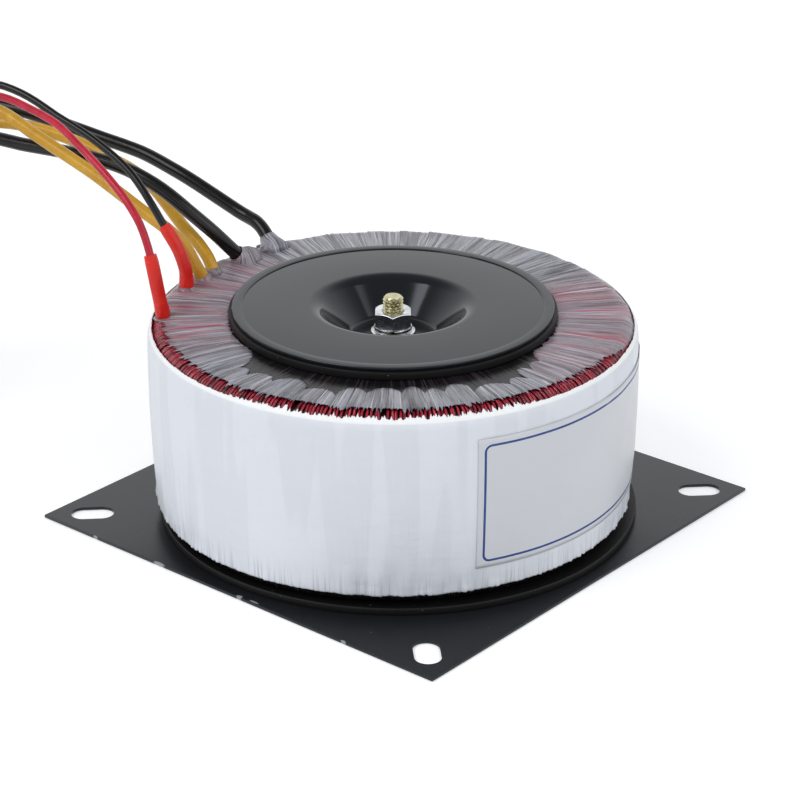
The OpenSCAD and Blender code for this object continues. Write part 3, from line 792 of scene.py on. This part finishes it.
# ---------------------------------------------------------------- wound body
shoulder = (wall(TOP - CORNER) - CORNER, TOP - CORNER)
foot = (wall(SEAT + CORNER) - CORNER, SEAT + CORNER)
WIRES, WIRE_R, MISSING = 375, 0.5, 0.035
WIRE_DEPTH, WIRE_END, WIDEST, DEGREES = 1.05, 12, 0.7, 57.3
ENAMEL = wire("enamelled_wire", srgb(160, 26, 52), srgb(70, 10, 22), srgb(206, 84, 98), 0.14)
rng = random.Random(11)

run = ([(68, TOP - 1.15), (78, TOP - 1.1), (84, TOP - WIRE_DEPTH)]
       + arc(*shoulder, CORNER - WIRE_DEPTH, 90, 0, 6)
       + [(wall(TOP - WIRE_END) - WIRE_DEPTH, TOP - WIRE_END)])
points, faces = [], []
for s in range(WIRES):
    if rng.random() < MISSING:
        continue
    centre = 360 * (s + rng.uniform(-0.16, 0.16)) / WIRES
    lift, sway = rng.uniform(-0.12, 0.3), rng.uniform(-0.35, 0.35)
    swing = rng.uniform(0, 6.28)
    first = len(points)
    for i, (r, z) in enumerate(run):
        before, after = run[max(i - 1, 0)], run[min(i + 1, len(run) - 1)]
        along = math.atan2(after[1] - before[1], after[0] - before[0])
        out_r, out_z = -math.sin(along), math.cos(along)
        half = min(WIRE_R, math.pi * r / WIRES * WIDEST)
        drift = sway * math.sin(swing + i * 0.5)
        for k in range(6):
            a = math.pi * k / 5
            aside = (half * math.cos(a) + drift) / r * DEGREES
            rise = half * math.sin(a) * 0.95 + lift * 0.6 - 0.12
            points.append(around(r + out_r * rise, centre + aside, z + out_z * rise))
    faces += grid_faces(len(run), 6, start=first)
    faces += [tuple(first + k for k in range(5, -1, -1)),
              tuple(first + (len(run) - 1) * 6 + k for k in range(6))]
make("secondary_wires", points, faces, ENAMEL, slot="secondary_wire", sharp=60)

# Film on the bore, the underside, the wall behind the band, and the top as far as the wires
skin = ([(88.0, TOP - 0.35), (84, TOP - 0.3), (76, TOP - 0.25), (70, TOP - 0.2), (60, TOP)]
        + arc(BORE_R + BORE_CORNER, TOP - BORE_CORNER, BORE_CORNER, 90, 180, 8)
        + arc(BORE_R + BORE_CORNER, SEAT + BORE_CORNER, BORE_CORNER, 180, 270, 8)
        + arc(*foot, CORNER, -90, 0, 8)
        + [(wall(z), z) for z in (20, 35, 50, 62, TOP - 15)])
cols, points = 360, []
for r, z in skin:
    for k in range(cols):
        a = 360 * k / cols
        ripple = 0.12 * noise.noise(Vector((a * 0.9, r * 0.1, z * 0.1))) if r > 64 else 0
        points.append(around(r, a, z + (ripple if z > TOP - 1 else 0)))
# This film's dark colour is painted shade and a painted reflection of the black washer.
thicken(make("film_underlay", points, grid_faces(len(skin), cols), painted_shade_film("clear_film_with_painted_shade"),
             ["film_wrap"], "insulation_film"), 0.15)

# Pleated film: petals with a scalloped inner edge at the front, whole folds elsewhere. Its outer
# edge is a brush over the wires at the front, and reaches the band's lip round the back.
PETALS, COLS, ROWS = 44, 1440, 18
SCALLOPED, BARE = (-108, -94, -4, 10), (-152, -132, 2, 30)  # directions, in degrees
PETAL_IN, PETAL_OUT, BRUSH_AT = 63, 94.4, 88.2  # distances along the top, as in over_top
SHOULDER_R, SHOULDER_BEND = shoulder[0], CORNER + 0.15


def over_top(s):
    """The point at distance s from the axis, along the top and on over the shoulder."""
    if s <= SHOULDER_R:
        return s, TOP, 0.0
    turn = (s - SHOULDER_R) / SHOULDER_BEND
    return (SHOULDER_R + SHOULDER_BEND * math.sin(turn),
            shoulder[1] + SHOULDER_BEND * math.cos(turn), turn)


rng = random.Random(23)
edges = [0.0]
for i in range(PETALS):
    edges.append(edges[-1] + rng.uniform(0.55, 1.45))
edges = [360 * e / edges[-1] for e in edges]
reach = [rng.uniform(69.0, 75.5) for _ in range(PETALS)]
tilt = [rng.choice((-1, 1)) for _ in range(PETALS)]
teeth = [rng.random() for _ in range(COLS)]
points, petal = [[] for _ in range(ROWS)], 0
for k in range(COLS):
    a = 360 * k / COLS
    signed = (a + 180) % 360 - 180
    while petal < PETALS - 1 and a >= edges[petal + 1]:
        petal += 1
    t = (2 * (a - edges[petal]) / (edges[petal + 1] - edges[petal]) - 1) * tilt[petal]
    scalloped = span(signed, *SCALLOPED)
    bare = span(signed, *BARE)
    s_in = PETAL_IN + (reach[petal] + 4.5 * abs(t) ** 2.4 - PETAL_IN) * scalloped
    slow = noise.noise(Vector((a * 0.12, 4.0, 0)))
    brush = 1.2 * teeth[k // 2 * 2] ** 2 + 2.6 * teeth[k] ** 3
    s_out = PETAL_OUT + (BRUSH_AT + 1.3 * slow + brush - PETAL_OUT) * bare
    for i in range(ROWS):
        u = i / (ROWS - 1)
        s = s_in + (s_out - s_in) * u
        r, z, turn = over_top(s)
        start = between(u, 0.0, 0.1) if scalloped > 0.5 else between(s, 64.3, 68)
        ends = start * (1 - 0.75 * between(u, 0.75, 1.0))
        crown = 0.8 * ((1 + t) / 2) ** 1.4 * (1 - between(t, 0.9, 1.0))
        pleat = 0.5 * abs(noise.noise(Vector((a * 0.8, s * 0.03, 2.0))))
        fine = 0.22 * noise.noise(Vector((a * 2.3, s * 0.05, 9.0)))
        lift = ends * (crown + pleat + fine) - 0.1
        points[i].append(around(r + lift * math.sin(turn), a, z + lift * math.cos(turn)))
petals = make("film_petals", [p for row in points for p in row], grid_faces(ROWS, COLS), FILM,
              slot="insulation_film")
thicken(petals, 0.1)

# Stretched outer band: smooth on the belly, gathered at its foot, ragged at its lip
COLS = 1200
RAGGED, BIG_FOLDS, BUNDLE = (-92, -80, -24, -12), (-70, -60, -40, -30), (-122, -117, -110, -105)
BUNDLE_HEIGHTS = (4, 12, 26, 38)
rng = random.Random(5)
teeth = [rng.random() for _ in range(COLS)]
top_turn = math.degrees(math.asin(1 - BAND_TOP / CORNER))
foot_turn = math.degrees(math.asin(1 - BAND_FOOT / CORNER))
wall_z = [TOP - CORNER - 4 * i for i in range(1, 15)]
wall_z = [z for z in wall_z if z > SEAT + GATHER_H]
wall_z += [SEAT + GATHER_H - 1.1 * i for i in range(7) if GATHER_H - 1.1 * i > CORNER + 0.2]
LIP_ROWS, FOOT_ROWS = 5, 3
rows = LIP_ROWS + 1 + len(wall_z) + FOOT_ROWS + 1
points = [[] for _ in range(rows)]
for k in range(COLS):
    a = 360 * k / COLS
    signed = (a + 180) % 360 - 180
    front = span(signed, *RAGGED)
    ragged = teeth[k] ** 2 * 0.6 + teeth[k // 3 * 3] * 0.4
    extra = (3.0 + 19.0 * front) * ragged ** 1.3 + 2.0 * noise.noise(Vector((a * 0.2, 1, 1)))
    flick = 0.35 * front * (teeth[(k * 7) % COLS] - 0.5)
    slow = 0.14 * noise.noise(Vector((a * 0.08, 3, 0)))
    line = []
    for i in range(LIP_ROWS + 1):
        turn = math.radians((top_turn + extra) * (1 - i / LIP_ROWS))
        bend = CORNER + BAND_PROUD + flick * (1 - i / LIP_ROWS) ** 2
        line.append((shoulder[0] + bend * math.cos(turn), shoulder[1] + bend * math.sin(turn)))
    line += [(wall(z) + BAND_PROUD, z) for z in wall_z]
    for i in range(FOOT_ROWS + 1):
        turn = math.radians(-foot_turn * i / FOOT_ROWS)
        line.append((foot[0] + (CORNER + BAND_PROUD) * math.cos(turn),
                     foot[1] + (CORNER + BAND_PROUD) * math.sin(turn)))
    gather = abs(noise.noise(Vector((a * 0.62, 0, 7)))) * 1.6
    narrow = abs(noise.noise(Vector((a * 1.5, 5, 7)))) * 0.9
    tall = BAND_FOOT + 9 * (0.5 + 0.9 * abs(noise.noise(Vector((a * 0.9, 9, 2)))))
    big = span(signed, *BIG_FOLDS)
    bundle = span(signed, *BUNDLE)
    for i, (r, z) in enumerate(line):
        low = (1 - between(z - SEAT, BAND_FOOT - 1, tall)) ** 1.3
        push = low * (0.9 * gather + 0.6 * narrow - 0.1)
        push += big * (1 - between(z - SEAT, 6, 22)) * 0.5 * math.sin(math.radians(a * 52))
        rise = span(z - SEAT, *BUNDLE_HEIGHTS)
        push += bundle * rise * 0.5 * math.sin(math.radians(a * 150))
        crease = 0.05 * noise.noise(Vector((a * 0.06, z * 0.5, 0)))
        points[i].append(around(r + min(push, 0.75) + slow + crease, a, z))
thicken(make("outer_band_film", [p for row in points for p in row], grid_faces(rows, COLS),
             white_film("white_film"), ["outer_band"], "white_film"), 0.3)


# ---------------------------------------------------------------- label
def on_label(length, z, proud=0.0):
    """A point on the label, by its length from the left edge and its height."""
    degrees = LABEL_FROM + math.degrees(length / (BODY_R + LABEL_PROUD))
    top_margin = between(z, LABEL_HIGH - 4, LABEL_HIGH)
    lifted = top_margin * 0.35 * (1 + noise.noise(Vector((length * 0.12, 1, 0))))
    crease = 0.3 * math.exp(-((length - 66 - (z - LABEL_HIGH) * 2.2) / 3.0) ** 2) * top_margin
    wave = (0.1 + 0.2 * between(length, 70, 100)) * noise.noise(Vector((length * 0.09, z * 0.09, 3)))
    return around(wall(z) + LABEL_PROUD + lifted * 0.4 + crease + wave + proud, degrees, z)


cols, rows = 180, 34
points = [on_label(LABEL_LEN * k / (cols - 1), LABEL_LOW + (LABEL_HIGH - LABEL_LOW) * i / (rows - 1))
          for i in range(rows) for k in range(cols)]
thicken(make("label_paper", points, grid_faces(rows, cols, wrap_cols=False), paper("label_paper"),
             ["label"], "label_foil"), 0.18)

INSET, ROUND, LINE = 2.4, 3.0, 0.9
left, right = INSET + ROUND, LABEL_LEN - INSET - ROUND
low, high = LABEL_LOW + INSET + ROUND, LABEL_HIGH - INSET - ROUND
centres = [(right, high, 0), (left, high, 90), (left, low, 180), (right, low, 270)]
outline = []
for index, (x, z, start) in enumerate(centres):
    for i in range(9):
        a = math.radians(start + 90 * i / 8)
        outline.append((x, z, math.cos(a), math.sin(a)))
    next_x, next_z, _ = centres[(index + 1) % 4]
    a = math.radians(start + 90)
    for i in range(1, 40):
        t = i / 40
        outline.append((x + (next_x - x) * t, z + (next_z - z) * t, math.cos(a), math.sin(a)))
points = []
for off in (ROUND - LINE, ROUND):
    points += [on_label(x + off * cx, z + off * cz, 0.03) for x, z, cx, cz in outline]
thicken(make("label_border", points, grid_faces(2, len(outline)), ink("label_ink"),
             slot="label_foil"), 0.02)

# ---------------------------------------------------------------- inner layers stay as the CAD has them
INNER = {
    "core": plain_layers("core_steel", srgb(150, 152, 156), srgb(110, 112, 116), 0.35, 1.0, 2),
    "core_wrap": plain_layers("core_tape", srgb(214, 196, 130), srgb(190, 170, 104), 0.5),
    "primary_winding": wire("primary_enamel", srgb(170, 78, 46), srgb(120, 52, 32),
                            srgb(200, 110, 70)),
    "inter_winding_insulation": plain_layers("inner_film", srgb(216, 210, 186),
                                             srgb(190, 184, 160), 0.3),
    # The secondary winding's red enamel, darkened as painted shade in the gaps between the strands over
    # it.
    "secondary_winding": wire("enamel_with_painted_shade", srgb(70, 16, 18), srgb(34, 8, 10), srgb(92, 26, 26),
                              0.35),
}
for node, material in INNER.items():
    mesh = NODES[node].data
    mesh.materials.clear()
    mesh.materials.append(material)

# ---------------------------------------------------------------- stage
floor_mesh = bpy.data.meshes.new("floor")
floor_mesh.from_pydata([(-9, -9, -0.0002), (9, -9, -0.0002), (9, 9, -0.0002), (-9, 9, -0.0002)],
                       [], [(0, 1, 2, 3)])
floor = bpy.data.objects.new("floor", floor_mesh)
bpy.context.scene.collection.objects.link(floor)


def seen_rays(tree):
    """1 for rays that show the background: from the camera, off gloss or through glass."""
    light = tree.nodes.new("ShaderNodeLightPath")
    total = light.outputs["Is Camera Ray"]
    for other in ("Is Glossy Ray", "Is Transmission Ray"):
        n = tree.nodes.new("ShaderNodeMath")
        n.operation = "MAXIMUM"
        tree.links.new(total, n.inputs[0])
        tree.links.new(light.outputs[other], n.inputs[1])
        total = n.outputs[0]
    return total


floor_mat = bpy.data.materials.new("floor_white")
floor_mat.use_nodes = True
tree = floor_mat.node_tree
tree.nodes.clear()
diffuse = tree.nodes.new("ShaderNodeBsdfDiffuse")
diffuse.inputs["Color"].default_value = (0.86, 0.87, 0.88, 1)
glow = tree.nodes.new("ShaderNodeEmission")
scaled = tree.nodes.new("ShaderNodeMath")
scaled.operation = "MULTIPLY"
tree.links.new(seen_rays(tree), scaled.inputs[0])
scaled.inputs[1].default_value = 0.3
tree.links.new(scaled.outputs[0], glow.inputs["Strength"])
both = tree.nodes.new("ShaderNodeAddShader")
tree.links.new(diffuse.outputs[0], both.inputs[0])
tree.links.new(glow.outputs[0], both.inputs[1])
out = tree.nodes.new("ShaderNodeOutputMaterial")
tree.links.new(both.outputs[0], out.inputs["Surface"])
floor_mesh.materials.append(floor_mat)

world = bpy.data.worlds.new("studio")
world.use_nodes = True
bpy.context.scene.world = world
tree = world.node_tree
tree.nodes.clear()
soft = tree.nodes.new("ShaderNodeBackground")
soft.inputs["Color"].default_value = (0.97, 0.985, 1.0, 1)
soft.inputs["Strength"].default_value = 0.66
white = tree.nodes.new("ShaderNodeBackground")
white.inputs["Color"].default_value = (1, 1, 1, 1)
height = tree.nodes.new("ShaderNodeSeparateXYZ")
tree.links.new(tree.nodes.new("ShaderNodeTexCoord").outputs["Generated"], height.inputs[0])
overhead = tree.nodes.new("ShaderNodeMapRange")  # white walls, and a dim ceiling seen only in gloss
overhead.interpolation_type = "SMOOTHSTEP"
tree.links.new(height.outputs["Z"], overhead.inputs["Value"])
overhead.inputs["From Min"].default_value, overhead.inputs["From Max"].default_value = 0.5, 0.85
overhead.inputs["To Min"].default_value, overhead.inputs["To Max"].default_value = 1.0, 0.3
tree.links.new(overhead.outputs["Result"], white.inputs["Strength"])
choose = tree.nodes.new("ShaderNodeMixShader")
tree.links.new(seen_rays(tree), choose.inputs[0])
tree.links.new(soft.outputs[0], choose.inputs[1])
tree.links.new(white.outputs[0], choose.inputs[2])
out = tree.nodes.new("ShaderNodeOutputWorld")
tree.links.new(choose.outputs[0], out.inputs["Surface"])


def lamp(name, place, size, watts):
    data = bpy.data.lights.new(name, "AREA")
    data.shape, data.size, data.energy = "SQUARE", size, watts
    lit = bpy.data.objects.new(name, data)
    bpy.context.scene.collection.objects.link(lit)
    lit.location = place
    lit.rotation_mode = "QUATERNION"
    lit.rotation_quaternion = (Vector((0, 0, 0.04)) - Vector(place)).to_track_quat("-Z", "Y")


lamp("key", (-0.5, -1.6, 1.9), 1.4, 20)
lamp("fill", (1.5, 0.2, 1.4), 1.4, 7)

bpy.context.scene.view_settings.view_transform = "Standard"
